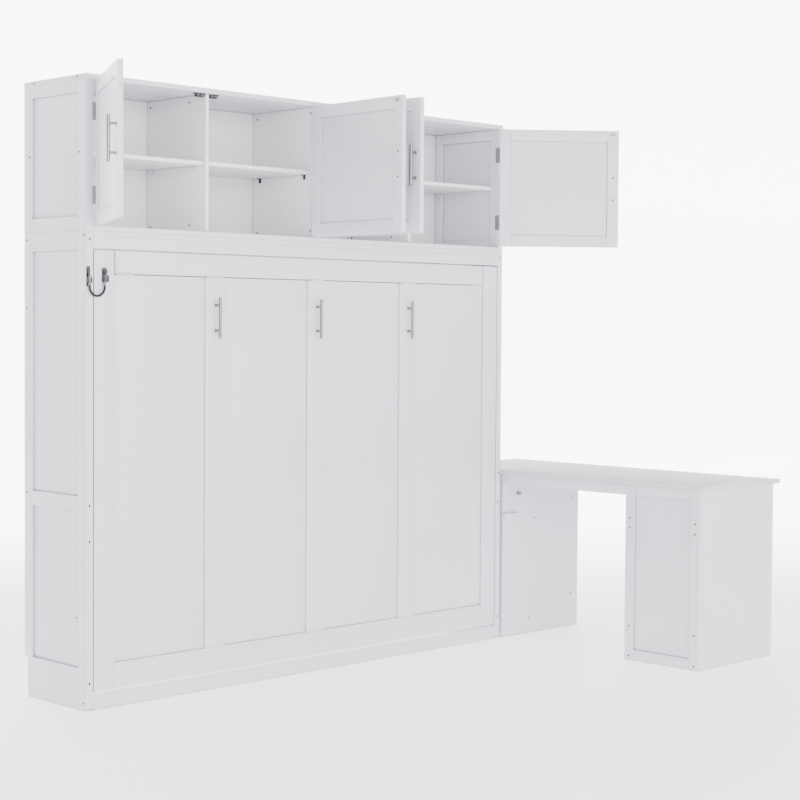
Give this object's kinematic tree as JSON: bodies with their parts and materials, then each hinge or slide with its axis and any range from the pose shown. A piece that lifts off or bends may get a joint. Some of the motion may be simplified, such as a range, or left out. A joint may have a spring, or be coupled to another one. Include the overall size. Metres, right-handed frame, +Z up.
{
  "type": "murphy wall bed",
  "caption": "Horizontal wall bed folding out of a painted cabinet, with a flip-out leg board, gas struts, an overhead door cabinet and a side desk.",
  "frame": {"origin": "on the floor, on the cabinet's front plane, midway across the cabinet's width", "axes": "+X to the right along the wall as seen from the room, +Y towards the wall, +Z up"},
  "size_m": [2.9902, 1.488, 2.276],
  "materials": {
    "paint": "satin white painted board",
    "painted_steel": "satin white, painted with the front",
    "brushed": "brushed",
    "zinc": "zinc plated",
    "black_steel": "black coated steel",
    "black_plastic": "matte",
    "cable_black": "smooth coating over wire rope",
    "pine": "plain planed softwood"
  },
  "bodies": {
    "cabinet": {"side_left": "paint", "side_right": "paint", "base_rail": "paint", "head_rail": "paint", "lower_top": "paint", "wall_rails": "paint", "upper_side_left": "paint", "upper_side_right": "paint", "upper_top": "paint", "upper_bottom": "paint", "divider_left": "paint", "divider_middle": "paint", "divider_right": "paint", "shelves": "paint", "upper_back": "paint", "shelf_supports": "black_steel", "shelf_supports_white": "painted_steel", "magnet_catches": "black_plastic", "door_hinge_leaves": "zinc", "cabinet_pivot_plates": "zinc", "cabinet_pivot_pins": "zinc", "cable_clip": "zinc", "desk_top": "paint", "desk_aprons": "paint", "desk_pedestal": "paint", "desk_pedestal_shelves": "paint", "desk_far_module": "paint", "desk_far_shelves": "paint", "desk_brackets": "black_steel", "desk_hook": "zinc", "carcass_screws": "zinc", "desk_screws": "zinc"},
    "bed": {"bed_front_frame": "paint", "bed_front_panels": "paint", "bed_box_rails": "paint", "bed_ledgers": "pine", "bed_slats": "pine", "bed_handles": "brushed", "bed_pivot_plates": "zinc", "leg_hinges_bed": "painted_steel", "safety_cable": "cable_black", "cable_ferrules": "brushed", "cable_lock": "zinc"},
    "leg": {"leg_board": "paint", "leg_hinges_board": "painted_steel"},
    "strut_cylinder": {"strut_cylinders": "black_steel"},
    "strut_rod": {"strut_rods": "brushed"},
    "door_1": {"door_1": "paint", "door_1_handle": "brushed", "door_1_hinges": "zinc"},
    "door_2": {"door_2": "paint", "door_2_handle": "brushed", "door_2_hinges": "zinc"},
    "door_3": {"door_3": "paint", "door_3_handle": "brushed", "door_3_hinges": "zinc"},
    "door_4": {"door_4": "paint", "door_4_handle": "brushed", "door_4_hinges": "zinc"}
  },
  "joints": [
    {"name": "bed_fold", "type": "hinge", "parent": "cabinet", "child": "bed", "pos_m": [0, 0.15, 0.237], "axis": [1, 0, 0], "range_deg": [0, 90]},
    {"name": "leg_flip", "type": "hinge", "parent": "bed", "child": "leg", "pos_m": [0, -0.0022, 1.568], "axis": [1, 0, 0], "range_deg": [0, 90]},
    {"name": "strut_cylinder_turn", "type": "hinge", "parent": "cabinet", "child": "strut_cylinder", "pos_m": [0, 0.15523, 0.38691], "axis": [1, 0, 0], "range_deg": [0, 45]},
    {"name": "strut_rod_turn", "type": "hinge", "parent": "bed", "child": "strut_rod", "pos_m": [0, 0.18629, 0.09146], "axis": [1, 0, 0], "range_deg": [-45, 0]},
    {"name": "door_1", "type": "hinge", "parent": "cabinet", "child": "door_1", "pos_m": [-1.0735, -0.004, 1.847], "axis": [0, 0, -1], "range_deg": [-117.5, 50.5]},
    {"name": "door_2", "type": "hinge", "parent": "cabinet", "child": "door_2", "pos_m": [-0.0105, -0.004, 1.847], "axis": [0, 0, 1], "range_deg": [-87.6, 0]},
    {"name": "door_3", "type": "hinge", "parent": "cabinet", "child": "door_3", "pos_m": [0.0105, -0.004, 1.847], "axis": [0, 0, -1], "range_deg": [-87.1, 0]},
    {"name": "door_4", "type": "hinge", "parent": "cabinet", "child": "door_4", "pos_m": [1.0735, -0.004, 1.847], "axis": [0, 0, 1], "range_deg": [-139.3, 28.7]}
  ],
  "couplings": [
    {"joint": "strut_cylinder_turn", "follows": "bed_fold", "ratio": 0.5},
    {"joint": "strut_rod_turn", "follows": "bed_fold", "ratio": -0.5}
  ]
}
